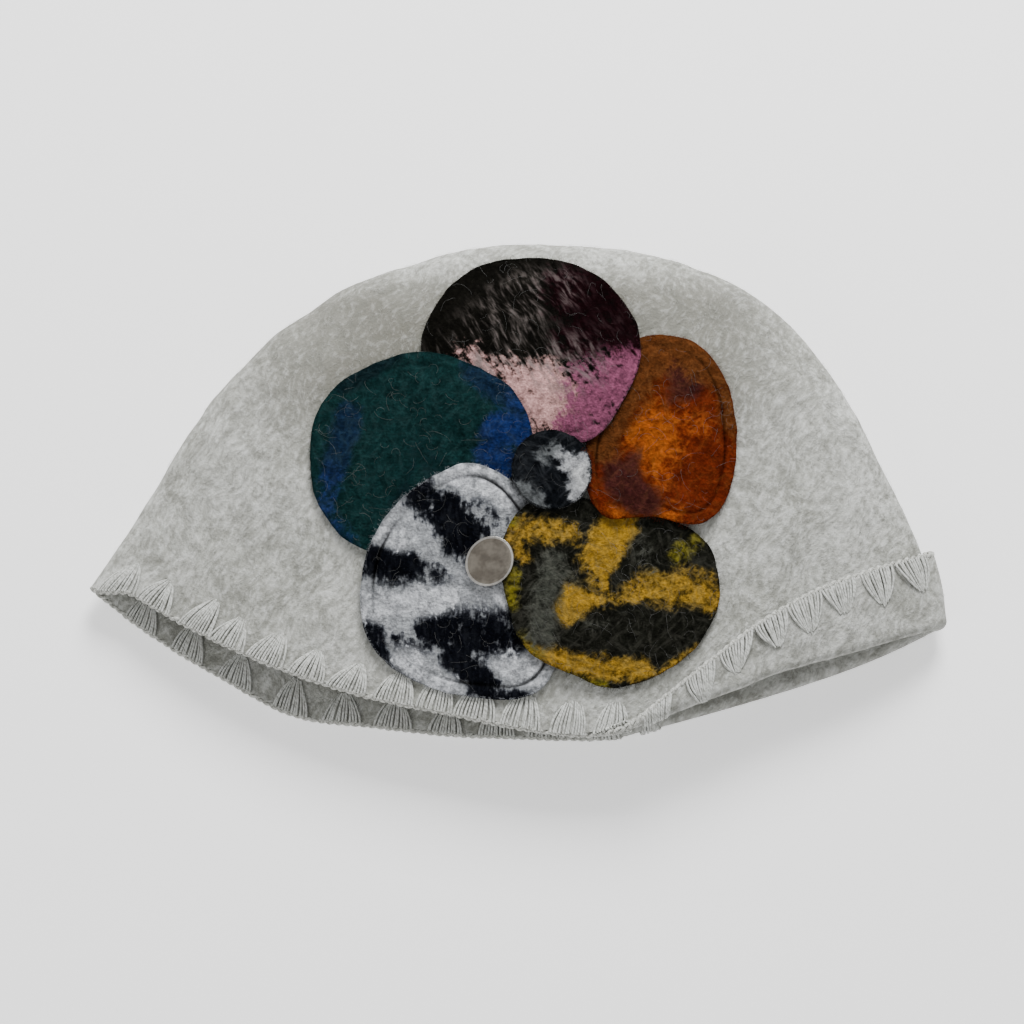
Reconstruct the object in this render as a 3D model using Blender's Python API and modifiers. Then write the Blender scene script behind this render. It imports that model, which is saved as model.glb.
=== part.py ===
"""A felted wool cap that lies on its back, with a turned-up cuff on the right and a flower of five petals.

+X runs to the cap's right as it is seen from above, +Y towards the top of the crown and +Z up. The cap rests
on the plane z = 0, with the middle of its footprint at the origin.
"""

import math

import bmesh
import bpy
import numpy as np
from mathutils import Matrix, Vector
from mathutils.bvhtree import BVHTree

# The cap as it lies, in metres
CAP_WIDTH = 0.3132
CAP_DROP = 0.1360
CAP_HEIGHT = 0.040
WALL = 0.0025

# How far the rim hangs lower in the middle than at the two ends, on the front and on the back
FRONT_SAG = 0.0502
# The front's rim runs higher on the left half than the sag alone gives, from beside the left end to past the middle.
FRONT_LIFT = 0.0074
LIFT_STARTS = 0.11
LIFT_FADES = (-0.22, 0.27)
BACK_SAG = 0.0476
RIM_TILT = 0.0064

# The turned-up cuff: how far it reaches up the front, the radius of its fold at mid wall, and how far the
# fold itself is drawn up from the rim's own curve on the front and the back. The back rim bulges on the left.
CUFF_DEPTH = 0.030
FOLD_RADIUS = 0.0021
FOLD_RISE = 0.011
RIM_ZONE = 0.006
BACK_RISE = 0.0085
BACK_BULGE = 0.0036

# Felt patches, the clearance between pieces, and the metal badge
PETAL_SIZE = 0.0356
PETAL_THICK = 0.0016
CENTRE_SIZE = 0.0144
CENTRE_DOME = 0.0008
CLEARANCE = 0.0003
SEAT = 0.0005
PETAL_FALL = 0.012
PETAL_MARGIN = 0.0042
BADGE_WIDTH = 0.0164
BADGE_HEIGHT = 0.0184
BADGE_THICK = 0.0013
BADGE_RIM = 0.0007
BADGE_LIP = 0.0003

# The middle of the flower, measured from the crown's top, and how fine the meshes are
FLOWER_ACROSS = 0.0124
FLOWER_DOWN = 0.0935
SIDES = 56
WALL_RINGS = 15
PETAL_SPOKES = 30
PETAL_RINGS = 6

# Rings of the crown, from the pole at the crown's top to the rim. place is the way along; drop is the share
# of CAP_DROP at the two ends; width and shift are shares of half the width; height is the middle of the front
# as a share of CAP_HEIGHT; edge is the height of the two ends as a share of the same; front and back are
# shares of the two sags; fullness is the power that rounds the front's section.
RING_COLUMNS = ("place", "drop", "width", "shift", "height", "edge", "front", "back", "fullness")
RING_ROWS = (
    (0.00, 0.000, 0.000, 0.100, 0.36, 0.36, 0.00, 0.00, 1.00),
    (0.10, 0.014, 0.180, 0.100, 0.55, 0.36, 0.03, 0.03, 1.00),
    (0.20, 0.057, 0.326, 0.100, 0.74, 0.37, 0.07, 0.06, 0.96),
    (0.30, 0.137, 0.478, 0.085, 0.88, 0.37, 0.13, 0.11, 0.92),
    (0.40, 0.244, 0.603, 0.071, 0.96, 0.37, 0.20, 0.18, 0.90),
    (0.50, 0.358, 0.689, 0.058, 1.00, 0.36, 0.30, 0.27, 0.90),
    (0.60, 0.473, 0.762, 0.046, 0.99, 0.34, 0.41, 0.38, 0.90),
    (0.70, 0.595, 0.821, 0.038, 0.95, 0.32, 0.54, 0.51, 0.92),
    (0.80, 0.725, 0.880, 0.032, 0.87, 0.29, 0.68, 0.66, 0.95),
    (0.90, 0.863, 0.938, 0.020, 0.77, 0.25, 0.84, 0.83, 1.00),
    (1.00, 1.000, 0.986, -0.010, 0.66, 0.21, 1.00, 1.00, 1.05),
)

# How much of the cuff is turned up, by the way across from the middle of the rim (0) to its right end (1)
CUFF_COLUMNS = ("across", "turned")
CUFF_ROWS = (
    (0.16, 0.00),
    (0.26, 0.13),
    (0.34, 0.33),
    (0.44, 0.55),
    (0.56, 0.77),
    (0.72, 0.94),
    (0.90, 1.00),
    (1.00, 1.00),
)

# The back, in shares of the half width: where its rim bulges and how wide, the power that squares its rim,
# the place by which it has settled flat, and the share of its section that lies flat
BULGE_ACROSS = -0.52
BULGE_SPREAD = 0.13
BACK_POWER = 2.6
BACK_SETTLES = 0.27
FLAT_SHARE = 0.72

# Stations along the last stretch of wall: shares of the straight stretch, of the fold's arc and of the cuff
STATION_COLUMNS = ("straight", "arc", "cuff")
STATION_ROWS = (
    (0.00, 0.00, 0.00),
    (0.20, 0.20, 0.00),
    (0.38, 0.40, 0.00),
    (0.54, 0.60, 0.00),
    (0.68, 0.80, 0.00),
    (0.80, 1.00, 0.04),
    (0.90, 1.00, 0.36),
    (0.96, 1.00, 0.68),
    (1.00, 1.00, 1.00),
)

# The petals: where each one's middle lies from the middle of the flower, as shares of PETAL_SIZE, then how
# far it reaches in the twelve clock directions from the right round by the top, as shares of the same.
PETAL_COLUMNS = ("name", "over", "under", "across", "up", "reach")
PETAL_ROWS = (
    ("petal_top", "petal_right", "petal_left", -0.195, 1.27,
     (1.08, 1.06, 1.06, 1.04, 1.08, 1.08, 1.10, 0.98, 0.84, 0.90, 1.10, 1.04)),
    ("petal_left", "petal_top", "petal_lower_left", -1.325, 0.21,
     (1.12, 1.13, 1.03, 1.04, 1.07, 1.14, 1.12, 1.14, 1.12, 0.88, 0.78, 0.84)),
    ("petal_right", "petal_lower_right", "petal_top", 0.995, 0.465,
     (0.88, 0.93, 1.03, 0.98, 0.84, 0.70, 0.62, 0.76, 1.02, 0.92, 1.11, 0.97)),
    ("petal_lower_right", "petal_lower_left", "petal_right", 0.575, -1.28,
     (1.10, 1.14, 0.98, 0.92, 1.22, 1.23, 1.03, 0.96, 0.83, 0.86, 0.87, 0.96)),
    ("petal_lower_left", "petal_left", "petal_lower_right", -0.745, -1.12,
     (0.80, 0.84, 0.98, 1.19, 1.15, 1.14, 1.17, 1.21, 1.12, 1.11, 1.21, 1.00)),
)
BADGE_PLACE = (-0.615, -0.90)

FINISHES = {
    "crown": ((0.56, 0.56, 0.52), 0.95, 0.0),
    "petal_top": ((0.10, 0.05, 0.08), 0.95, 0.0),
    "petal_left": ((0.02, 0.07, 0.10), 0.95, 0.0),
    "petal_right": ((0.40, 0.09, 0.02), 0.95, 0.0),
    "petal_lower_right": ((0.35, 0.20, 0.03), 0.95, 0.0),
    "petal_lower_left": ((0.30, 0.31, 0.34), 0.95, 0.0),
    "flower_centre": ((0.08, 0.09, 0.10), 0.95, 0.0),
    "badge": ((0.50, 0.46, 0.42), 0.35, 1.0),
}


def clear_scene():
    for thing in list(bpy.data.objects):
        bpy.data.objects.remove(thing, do_unlink=True)


def make_collection():
    found = bpy.data.collections.new("felt_cap")
    bpy.context.scene.collection.children.link(found)
    return found


def finish_of(name):
    colour, roughness, metallic = FINISHES[name]
    material = bpy.data.materials.new(name + "_finish")
    material.use_nodes = True
    shader = material.node_tree.nodes["Principled BSDF"]
    shader.inputs["Base Color"].default_value = (*colour, 1.0)
    shader.inputs["Roughness"].default_value = roughness
    shader.inputs["Metallic"].default_value = metallic
    return material


def smooth_step(value, low, high):
    share = min(max((value - low) / (high - low), 0.0), 1.0)
    return share * share * (3 - 2 * share)


def hermite(low, high, low_slope, high_slope, share):
    """The cubic between two values that leaves and arrives at the given slopes."""
    square = share * share
    cube = square * share
    return (
        low * (2 * cube - 3 * square + 1)
        + low_slope * (cube - 2 * square + share)
        + high * (3 * square - 2 * cube)
        + high_slope * (cube - square)
    )


def read_table(columns, rows, place):
    """The named values of a table between its rows, on a smooth curve. The first column is the place."""
    table = np.array(rows)
    places = table[:, 0]
    place = min(max(place, places[0]), places[-1])
    slopes = np.gradient(table, places, axis=0)
    index = min(int(np.searchsorted(places, place, side="right")) - 1, len(places) - 2)
    step = places[index + 1] - places[index]
    share = (place - places[index]) / step
    low, high = table[index], table[index + 1]
    values = hermite(low, high, slopes[index] * step, slopes[index + 1] * step, share)
    return dict(zip(columns, values))


def turned_up(angle):
    """How much of the rim is turned up at an angle: 0 is the right end, 90 degrees the front's middle."""
    across = math.cos(angle)
    if across <= CUFF_ROWS[0][0]:
        return 0.0
    share = read_table(CUFF_COLUMNS, CUFF_ROWS, across)["turned"]
    return CUFF_DEPTH * min(max(share, 0.0), 1.0)


def fold_rise(angle):
    """How far the fold is drawn up from the rim's own curve."""
    across = math.cos(angle)
    start = CUFF_ROWS[0][0]
    if across <= start:
        return 0.0
    rise = FOLD_RISE if math.sin(angle) >= 0 else BACK_RISE
    return rise * math.sin(math.pi * (across - start) / (1 - start))


def raised_by_cuff(angle, place):
    """How far the back is lifted where the cuff lies under it."""
    across = math.cos(angle)
    start = CUFF_ROWS[0][0]
    beside_cuff = smooth_step(across, start - 0.45, start + 0.12)
    return 2 * FOLD_RADIUS * beside_cuff * smooth_step(place, 0.42, 0.74)


def under_share(up):
    """The shape of the section's underside: 1 at the two ends, and 0 along the stretch that lies flat."""
    rounded = 1 - min(abs(up) / FLAT_SHARE, 1.0)
    return rounded * rounded * (1.6 - 0.6 * rounded)


def wall_point(angle, place):
    """A point of the wall, at mid thickness. The angle runs round the ring, the place from pole to rim."""
    ring = read_table(RING_COLUMNS, RING_ROWS, place)
    across = math.cos(angle)
    up = math.sin(angle)
    x = CAP_WIDTH / 2 * (ring["shift"] + ring["width"] * across)
    y = -CAP_DROP * ring["drop"] - RIM_TILT * across * place
    end_height = CAP_HEIGHT * ring["edge"]
    if up >= 0:
        y -= FRONT_SAG * ring["front"] * (1 - across * across)
        left_half = smooth_step(1 + across, 0.0, LIFT_STARTS) * (1 - smooth_step(across, *LIFT_FADES))
        y += FRONT_LIFT * ring["front"] ** 2 * left_half
        z = end_height + (CAP_HEIGHT * ring["height"] - end_height) * up ** ring["fullness"]
    else:
        bulge = BACK_BULGE * math.exp(-(((across - BULGE_ACROSS) / BULGE_SPREAD) ** 2))
        y -= ring["back"] * (BACK_SAG * (1 - abs(across) ** BACK_POWER) + bulge)
        settled = math.sin(math.pi / 2 * min(place / BACK_SETTLES, 1.0))
        lowest = end_height + (WALL / 2 - end_height) * settled
        z = lowest + (end_height - lowest) * under_share(up)
        z += raised_by_cuff(angle, place) * (1 - under_share(up))
    return Vector((x, y, z))


def outward(angle, place):
    """The wall's normal, pointing out of the cap."""
    place = min(max(place, 0.02), 0.995)
    round_it = wall_point(angle + 0.02, place) - wall_point(angle - 0.02, place)
    along = wall_point(angle, place + 0.005) - wall_point(angle, place - 0.005)
    return round_it.cross(along).normalized()


def rim_stretch(angle):
    """Metres of wall for one unit of place, near the rim."""
    return (wall_point(angle, 1.0) - wall_point(angle, 0.9)).length / 0.1


def rim_point(angle, station):
    """A point of the last stretch of wall, which rolls out at the fold and runs back up as the cuff."""
    share = dict(zip(STATION_COLUMNS, station))
    turned = turned_up(angle)
    arc_length = min(turned, math.pi * FOLD_RADIUS)
    cuff_length = turned - arc_length
    stretch = rim_stretch(angle)
    tail = RIM_ZONE * (1 - 0.9 * turned / CUFF_DEPTH)
    end = 1 - fold_rise(angle) / stretch
    past = share["straight"] * tail + share["arc"] * arc_length + share["cuff"] * cuff_length - tail
    if past <= 0:
        return wall_point(angle, end + past / stretch)
    bend = min(past / FOLD_RADIUS, math.pi)
    back = max(past - math.pi * FOLD_RADIUS, 0.0)
    place = end + (FOLD_RADIUS * math.sin(bend) - back) / stretch
    inside = min(place, 1.0)
    beyond = (place - inside) * stretch
    point = wall_point(angle, inside)
    if beyond > 0:
        point += (wall_point(angle, 1.0) - wall_point(angle, 0.98)).normalized() * beyond
    return point + outward(angle, inside) * FOLD_RADIUS * (1 - math.cos(bend))


def tail_start(angle):
    """The place where the wall's even rings end and the rim's stations begin."""
    turned = turned_up(angle)
    tail = RIM_ZONE * (1 - 0.9 * turned / CUFF_DEPTH)
    return 1 - (fold_rise(angle) + tail) / rim_stretch(angle)


def skin_from_rings(rings, pole):
    """An open skin: a fan round the pole, then each ring of points bridged to the next."""
    mesh = bmesh.new()
    tip = mesh.verts.new(pole)
    loops = [[mesh.verts.new(point) for point in ring] for ring in rings]
    count = len(loops[0])
    for index in range(count):
        after = (index + 1) % count
        mesh.faces.new((tip, loops[0][after], loops[0][index]))
        for upper, lower in zip(loops, loops[1:]):
            mesh.faces.new((upper[index], upper[after], lower[after], lower[index]))
    bmesh.ops.recalc_face_normals(mesh, faces=mesh.faces)
    return mesh


def add_object(name, mesh, collection):
    data = bpy.data.meshes.new(name)
    mesh.to_mesh(data)
    mesh.free()
    data.shade_smooth()
    data.materials.append(finish_of(name))
    made = bpy.data.objects.new(name, data)
    collection.objects.link(made)
    return made


def give_thickness(made, thickness, offset):
    solid = made.modifiers.new("Felt", "SOLIDIFY")
    solid.thickness = thickness
    solid.offset = offset
    solid.use_even_offset = False


def make_crown(collection):
    """The crown and its cuff: one wall from the pole to the turned-up edge."""
    angles = [math.tau * index / SIDES for index in range(SIDES)]
    rings = []
    for ring in range(1, WALL_RINGS + 1):
        share = ring / (WALL_RINGS + 0.35)
        rings.append([wall_point(angle, share * tail_start(angle)) for angle in angles])
    for station in STATION_ROWS:
        rings.append([rim_point(angle, station) for angle in angles])
    crown = add_object("crown", skin_from_rings(rings, wall_point(0.0, 0.0)), collection)
    give_thickness(crown, WALL, 0.0)
    return crown


def top_surface(made):
    """A search tree of the finished surfaces of some objects, for laying a piece on them."""
    bpy.context.view_layer.update()
    graph = bpy.context.evaluated_depsgraph_get()
    points = []
    faces = []
    for thing in made:
        evaluated = thing.evaluated_get(graph)
        mesh = evaluated.to_mesh()
        first = len(points)
        points += [thing.matrix_world @ vertex.co for vertex in mesh.vertices]
        faces += [[first + corner for corner in face.vertices] for face in mesh.polygons]
        evaluated.to_mesh_clear()
    return BVHTree.FromPolygons(points, faces)


def height_on(tree, x, y):
    """The surface's height under a point. Past the surface's edge it is the height of that edge's nearest point."""
    hit = tree.ray_cast(Vector((x, y, 1.0)), Vector((0, 0, -1)))[0]
    if hit is None:
        hit = tree.find_nearest(Vector((x, y, CAP_HEIGHT)))[0]
    return hit.z


def petal_row(name):
    return dict(zip(PETAL_COLUMNS, next(row for row in PETAL_ROWS if row[0] == name)))


def petal_middle(petal):
    x = FLOWER_ACROSS + petal["across"] * PETAL_SIZE
    y = -FLOWER_DOWN + petal["up"] * PETAL_SIZE
    return x, y


def petal_reach(petal, angle):
    """How far the petal's edge lies from its middle, on a smooth curve through its clock directions."""
    reach = petal["reach"]
    count = len(reach)
    place = (angle / math.tau * count) % count
    index = int(place)
    before, low, high, after = (reach[(index + step) % count] for step in (-1, 0, 1, 2))
    return PETAL_SIZE * hermite(low, high, (high - before) / 2, (after - low) / 2, place - index)


def distance_outside(petal, x, y):
    """How far a point lies outside the petal's edge, negative inside."""
    middle_x, middle_y = petal_middle(petal)
    from_x = x - middle_x
    from_y = y - middle_y
    return math.hypot(from_x, from_y) - petal_reach(petal, math.atan2(from_y, from_x))


def petal_lift(petal, x, y):
    """1 where the petal lies on a neighbour, 0 where it lies on the crown or under the other neighbour."""
    from_lower = distance_outside(petal_row(petal["over"]), x, y) - PETAL_MARGIN
    from_upper = distance_outside(petal_row(petal["under"]), x, y) - PETAL_MARGIN
    return smooth_step(from_upper, 0.0, PETAL_MARGIN) * (1 - smooth_step(from_lower, 0.0, PETAL_FALL))


def patch_mesh(middle_x, middle_y, reach_at, height_at):
    """A round skin of spokes and rings, each point laid at its height."""
    rings = []
    for ring in range(1, PETAL_RINGS + 1):
        share = ring / PETAL_RINGS
        points = []
        for spoke in range(PETAL_SPOKES):
            angle = math.tau * spoke / PETAL_SPOKES
            x = middle_x + share * reach_at(angle) * math.cos(angle)
            y = middle_y + share * reach_at(angle) * math.sin(angle)
            points.append((x, y, height_at(x, y)))
        rings.append(points)
    mesh = skin_from_rings(rings, (middle_x, middle_y, height_at(middle_x, middle_y)))
    if sum(face.normal.z for face in mesh.faces) < 0:
        bmesh.ops.reverse_faces(mesh, faces=mesh.faces)
    return mesh


def make_petal(name, crown_tree, collection):
    petal = petal_row(name)
    middle_x, middle_y = petal_middle(petal)
    step = PETAL_THICK + 2 * CLEARANCE

    def height_at(x, y):
        return height_on(crown_tree, x, y) + SEAT + step * petal_lift(petal, x, y)

    mesh = patch_mesh(middle_x, middle_y, lambda angle: petal_reach(petal, angle), height_at)
    made = add_object(name, mesh, collection)
    give_thickness(made, PETAL_THICK, 1.0)
    return made


def seat_plane(tree, x, y, half_width, half_height):
    """The plane that lies on the surface round a point: its height there, and its slopes along X and Y."""
    rows = []
    heights = []
    for share in (0.4, 0.95):
        for index in range(16):
            angle = math.tau * index / 16
            along = share * half_width * math.cos(angle)
            up = share * half_height * math.sin(angle)
            rows.append((along, up, 1.0))
            heights.append(height_on(tree, x + along, y + up))
    along_x, along_y, height = np.linalg.lstsq(np.array(rows), np.array(heights), rcond=None)[0]
    above = max(np.array(heights) - np.array(rows) @ (along_x, along_y, height))
    return height + above, along_x, along_y


def make_centre(petals_tree, collection):
    """The small patch over the petals' meeting, with its middle a little raised."""
    middle_x, middle_y = FLOWER_ACROSS, -FLOWER_DOWN
    height, along_x, along_y = seat_plane(petals_tree, middle_x, middle_y, CENTRE_SIZE, CENTRE_SIZE)

    def height_at(x, y):
        from_middle = math.hypot(x - middle_x, y - middle_y) / CENTRE_SIZE
        raised = CENTRE_DOME * max(1 - from_middle * from_middle, 0.0)
        return height + SEAT + along_x * (x - middle_x) + along_y * (y - middle_y) + raised

    mesh = patch_mesh(middle_x, middle_y, lambda angle: CENTRE_SIZE, height_at)
    made = add_object("flower_centre", mesh, collection)
    give_thickness(made, PETAL_THICK, 1.0)
    return made


def make_badge(petals_tree, collection):
    """An oval metal disc with a thin raised rim, seated flat on the petals."""
    x = FLOWER_ACROSS + BADGE_PLACE[0] * PETAL_SIZE
    y = -FLOWER_DOWN + BADGE_PLACE[1] * PETAL_SIZE
    height, along_x, along_y = seat_plane(petals_tree, x, y, BADGE_WIDTH / 2, BADGE_HEIGHT / 2)
    normal = Vector((-along_x, -along_y, 1.0)).normalized()
    mesh = bmesh.new()
    bmesh.ops.create_cone(
        mesh, cap_ends=True, segments=28, radius1=BADGE_WIDTH / 2, radius2=BADGE_WIDTH / 2, depth=BADGE_THICK
    )
    top = [face for face in mesh.faces if face.normal.z > 0.9]
    bmesh.ops.inset_region(mesh, faces=top, thickness=BADGE_RIM)
    bmesh.ops.translate(mesh, verts=top[0].verts, vec=(0, 0, -BADGE_LIP))
    bmesh.ops.scale(mesh, verts=mesh.verts, vec=(1.0, BADGE_HEIGHT / BADGE_WIDTH, 1.0))
    made = add_object("badge", mesh, collection)
    made.data.set_sharp_from_angle(angle=math.radians(35))
    turn = normal.to_track_quat("Z", "Y").to_matrix().to_4x4()
    seat = Vector((x, y, height)) + normal * (SEAT + BADGE_THICK / 2)
    made.matrix_world = Matrix.Translation(seat) @ turn
    return made


def centre_on_footprint(made):
    """Moves all pieces together: the middle of the footprint to the origin, and the lowest point to 0."""
    bpy.context.view_layer.update()
    graph = bpy.context.evaluated_depsgraph_get()
    corners = []
    for thing in made:
        evaluated = thing.evaluated_get(graph)
        mesh = evaluated.to_mesh()
        corners += [thing.matrix_world @ vertex.co for vertex in mesh.vertices]
        evaluated.to_mesh_clear()
    points = np.array(corners)
    low = points.min(axis=0)
    high = points.max(axis=0)
    move = Vector((-(low[0] + high[0]) / 2, -(low[1] + high[1]) / 2, -low[2]))
    for thing in made:
        thing.matrix_world = Matrix.Translation(move) @ thing.matrix_world
    bpy.context.view_layer.update()
    print("moved by", [round(value * 1000, 2) for value in move], "size", np.round((high - low) * 1000, 2))


def main():
    clear_scene()
    collection = make_collection()
    crown = make_crown(collection)
    crown_tree = top_surface([crown])
    petals = [make_petal(row[0], crown_tree, collection) for row in PETAL_ROWS]
    petals_tree = top_surface([crown, *petals])
    centre = make_centre(petals_tree, collection)
    badge = make_badge(petals_tree, collection)
    centre_on_footprint([crown, *petals, centre, badge])


main()
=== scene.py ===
# A grey felted wool cap lying on its back: a turned-up cuff, shell stitches at the rim and a felt flower
import math
import random

import bmesh
import bpy
from mathutils import Matrix, Vector, noise
from mathutils.bvhtree import BVHTree


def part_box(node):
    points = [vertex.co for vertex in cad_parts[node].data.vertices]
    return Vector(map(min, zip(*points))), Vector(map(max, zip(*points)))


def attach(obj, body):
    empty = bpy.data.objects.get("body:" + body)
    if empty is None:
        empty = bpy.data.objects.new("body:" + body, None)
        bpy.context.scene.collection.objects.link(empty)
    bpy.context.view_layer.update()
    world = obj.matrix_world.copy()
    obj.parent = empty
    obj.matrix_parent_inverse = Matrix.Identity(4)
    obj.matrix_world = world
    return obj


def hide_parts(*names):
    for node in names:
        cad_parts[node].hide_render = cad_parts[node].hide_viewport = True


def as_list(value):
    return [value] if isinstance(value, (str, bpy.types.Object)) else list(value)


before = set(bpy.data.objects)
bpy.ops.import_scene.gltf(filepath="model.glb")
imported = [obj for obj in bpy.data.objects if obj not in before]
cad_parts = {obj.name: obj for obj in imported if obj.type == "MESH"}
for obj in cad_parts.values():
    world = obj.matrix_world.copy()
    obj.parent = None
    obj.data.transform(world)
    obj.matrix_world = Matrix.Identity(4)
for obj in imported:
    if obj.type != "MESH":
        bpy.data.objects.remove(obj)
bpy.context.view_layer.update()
chance = random.Random(11)
print("frame loaded")


def smoothStep(value, low, high):
    share = min(max((value - low) / (high - low), 0.0), 1.0)
    return share * share * (3 - 2 * share)


def curveBetween(low, high, lowSlope, highSlope, share):
    square = share * share
    cube = square * share
    return (low * (2 * cube - 3 * square + 1) + lowSlope * (cube - 2 * square + share)
            + high * (3 * square - 2 * cube) + highSlope * (cube - square))


def slopesOf(rows):
    found = []
    for index in range(len(rows)):
        before = rows[max(index - 1, 0)]
        after = rows[min(index + 1, len(rows) - 1)]
        found.append([(b - a) / (after[0] - before[0]) for a, b in zip(before, after)])
    return found


def readRows(rows, slopes, place):
    place = min(max(place, rows[0][0]), rows[-1][0])
    index = 0
    while index < len(rows) - 2 and place > rows[index + 1][0]:
        index += 1
    step = rows[index + 1][0] - rows[index][0]
    share = (place - rows[index][0]) / step
    return [curveBetween(low, high, a * step, b * step, share)
            for low, high, a, b in zip(rows[index], rows[index + 1], slopes[index], slopes[index + 1])]


# Sizes of the cap's body in metres, and how its sections change from the crown's top to the rim
crownSettings = {
    "width": 0.3132, "drop": 0.1360, "height": 0.040, "wall": 0.0025,
    "frontSag": 0.0502, "backSag": 0.0476, "rimTilt": 0.0064,
    "frontLift": 0.0074, "liftStarts": 0.11, "liftFades": (-0.22, 0.27),
    "cuffDepth": 0.030, "foldRadius": 0.0021, "foldRise": 0.011, "backRise": 0.0085, "rimZone": 0.006,
    "backBulge": 0.0036, "bulgeAcross": -0.52, "bulgeSpread": 0.13, "backPower": 2.6, "backSettles": 0.27,
    "raisedAcross": (0.45, 0.12), "raisedPlace": (0.42, 0.74),
    "flatShare": 0.72, "moved": (-0.00056, 0.09216, 0.0),
    "sidesRound": 264, "wallRows": 92, "rimRows": 36,
    # height, fineness and shift of each size of lump, which fade under the flower and at the floor
    "lumps": ((0.0011, 38, (0, 0, 0)), (0.00042, 115, (3, 1, 7)), (0.00014, 330, (9, 4, 2))),
    "underFlower": 0.12, "flowerEdge": (-0.001, 0.012), "offFloor": (0.004, 0.016),
}
# place, drop, width, shift, height, edge, front, back, fullness
crownRows = [
    (0.0, 0.000, 0.000, 0.100, 0.36, 0.36, 0.00, 0.00, 1.00),
    (0.1, 0.014, 0.180, 0.100, 0.55, 0.36, 0.03, 0.03, 1.00),
    (0.2, 0.057, 0.326, 0.100, 0.74, 0.37, 0.07, 0.06, 0.96),
    (0.3, 0.137, 0.478, 0.085, 0.88, 0.37, 0.13, 0.11, 0.92),
    (0.4, 0.244, 0.603, 0.071, 0.96, 0.37, 0.20, 0.18, 0.90),
    (0.5, 0.358, 0.689, 0.058, 1.00, 0.36, 0.30, 0.27, 0.90),
    (0.6, 0.473, 0.762, 0.046, 0.99, 0.34, 0.41, 0.38, 0.90),
    (0.7, 0.595, 0.821, 0.038, 0.95, 0.32, 0.54, 0.51, 0.92),
    (0.8, 0.725, 0.880, 0.032, 0.87, 0.29, 0.68, 0.66, 0.95),
    (0.9, 0.863, 0.938, 0.020, 0.77, 0.25, 0.84, 0.83, 1.00),
    (1.0, 1.000, 0.986, -0.010, 0.66, 0.21, 1.00, 1.00, 1.05),
]
# way across from the rim's middle, share of the cuff turned up
cuffRows = [
    (0.16, 0.0), (0.26, 0.13), (0.34, 0.33), (0.44, 0.55),
    (0.56, 0.77), (0.72, 0.94), (0.90, 1.0), (1.0, 1.0),
]
crownSlopes = slopesOf(crownRows)
cuffSlopes = slopesOf(cuffRows)


def turnedUp(angle):
    across = math.cos(angle)
    if across <= cuffRows[0][0]:
        return 0.0
    share = readRows(cuffRows, cuffSlopes, across)[1]
    return crownSettings["cuffDepth"] * min(max(share, 0.0), 1.0)


def foldRise(angle):
    across = math.cos(angle)
    start = cuffRows[0][0]
    if across <= start:
        return 0.0
    rise = crownSettings["foldRise"] if math.sin(angle) >= 0 else crownSettings["backRise"]
    return rise * math.sin(math.pi * (across - start) / (1 - start))


def underShare(up):
    # 0 at the wall's side, 1 where it lies flat below
    rounded = 1 - min(abs(up) / crownSettings["flatShare"], 1.0)
    return rounded * rounded * (1.6 - 0.6 * rounded)


def wallPoint(angle, place):
    s = crownSettings
    _, drop, width, shift, height, edge, front, back, fullness = readRows(crownRows, crownSlopes, place)
    across = math.cos(angle)
    up = math.sin(angle)
    x = s["width"] / 2 * (shift + width * across)
    y = -s["drop"] * drop - s["rimTilt"] * across * place
    end = s["height"] * edge
    if up >= 0:
        y -= s["frontSag"] * front * (1 - across * across)
        leftHalf = smoothStep(1 + across, 0.0, s["liftStarts"]) * (1 - smoothStep(across, *s["liftFades"]))
        y += s["frontLift"] * front * front * leftHalf
        z = end + (s["height"] * height - end) * up ** fullness
    else:
        bulge = s["backBulge"] * math.exp(-(((across - s["bulgeAcross"]) / s["bulgeSpread"]) ** 2))
        y -= back * (s["backSag"] * (1 - abs(across) ** s["backPower"]) + bulge)
        settled = math.sin(math.pi / 2 * min(place / s["backSettles"], 1.0))
        lowest = end + (s["wall"] / 2 - end) * settled
        z = lowest + (end - lowest) * underShare(up)
        # the back rises beside the cuff, by the thickness that is folded under it
        start = cuffRows[0][0]
        before, after = s["raisedAcross"]
        raised = 2 * s["foldRadius"] * smoothStep(across, start - before, start + after)
        z += raised * smoothStep(place, *s["raisedPlace"]) * (1 - underShare(up))
    return Vector((x, y, z)) + Vector(s["moved"])


def wallOut(angle, place):
    place = min(max(place, 0.02), 0.995)
    roundIt = wallPoint(angle + 0.02, place) - wallPoint(angle - 0.02, place)
    along = wallPoint(angle, place + 0.005) - wallPoint(angle, place - 0.005)
    return roundIt.cross(along).normalized()


def lengthPerPlace(angle):
    # metres of felt for a whole step of place, near the rim
    return (wallPoint(angle, 1.0) - wallPoint(angle, 0.9)).length / 0.1


def rimAt(angle, inset):
    # the wall at a distance from its cut edge, measured along the felt and round the fold
    s = crownSettings
    stretch = lengthPerPlace(angle)
    end = 1 - foldRise(angle) / stretch
    past = turnedUp(angle) - inset
    if past <= 0:
        return wallPoint(angle, end + past / stretch)
    bend = min(past / s["foldRadius"], math.pi)
    back = max(past - math.pi * s["foldRadius"], 0.0)
    place = end + (s["foldRadius"] * math.sin(bend) - back) / stretch
    inside = min(place, 1.0)
    point = wallPoint(angle, inside)
    if place > 1.0:
        point += (wallPoint(angle, 1.0) - wallPoint(angle, 0.98)).normalized() * (place - 1.0) * stretch
    return point + wallOut(angle, inside) * s["foldRadius"] * (1 - math.cos(bend))


def rimOut(angle, inset):
    # the outer face's direction there, and the way to the cut edge
    roundIt = rimAt(angle + 0.012, inset) - rimAt(angle - 0.012, inset)
    toEdge = rimAt(angle, inset - 0.0005) - rimAt(angle, inset + 0.0005)
    return roundIt.cross(toEdge).normalized(), toEdge.normalized()


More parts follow.
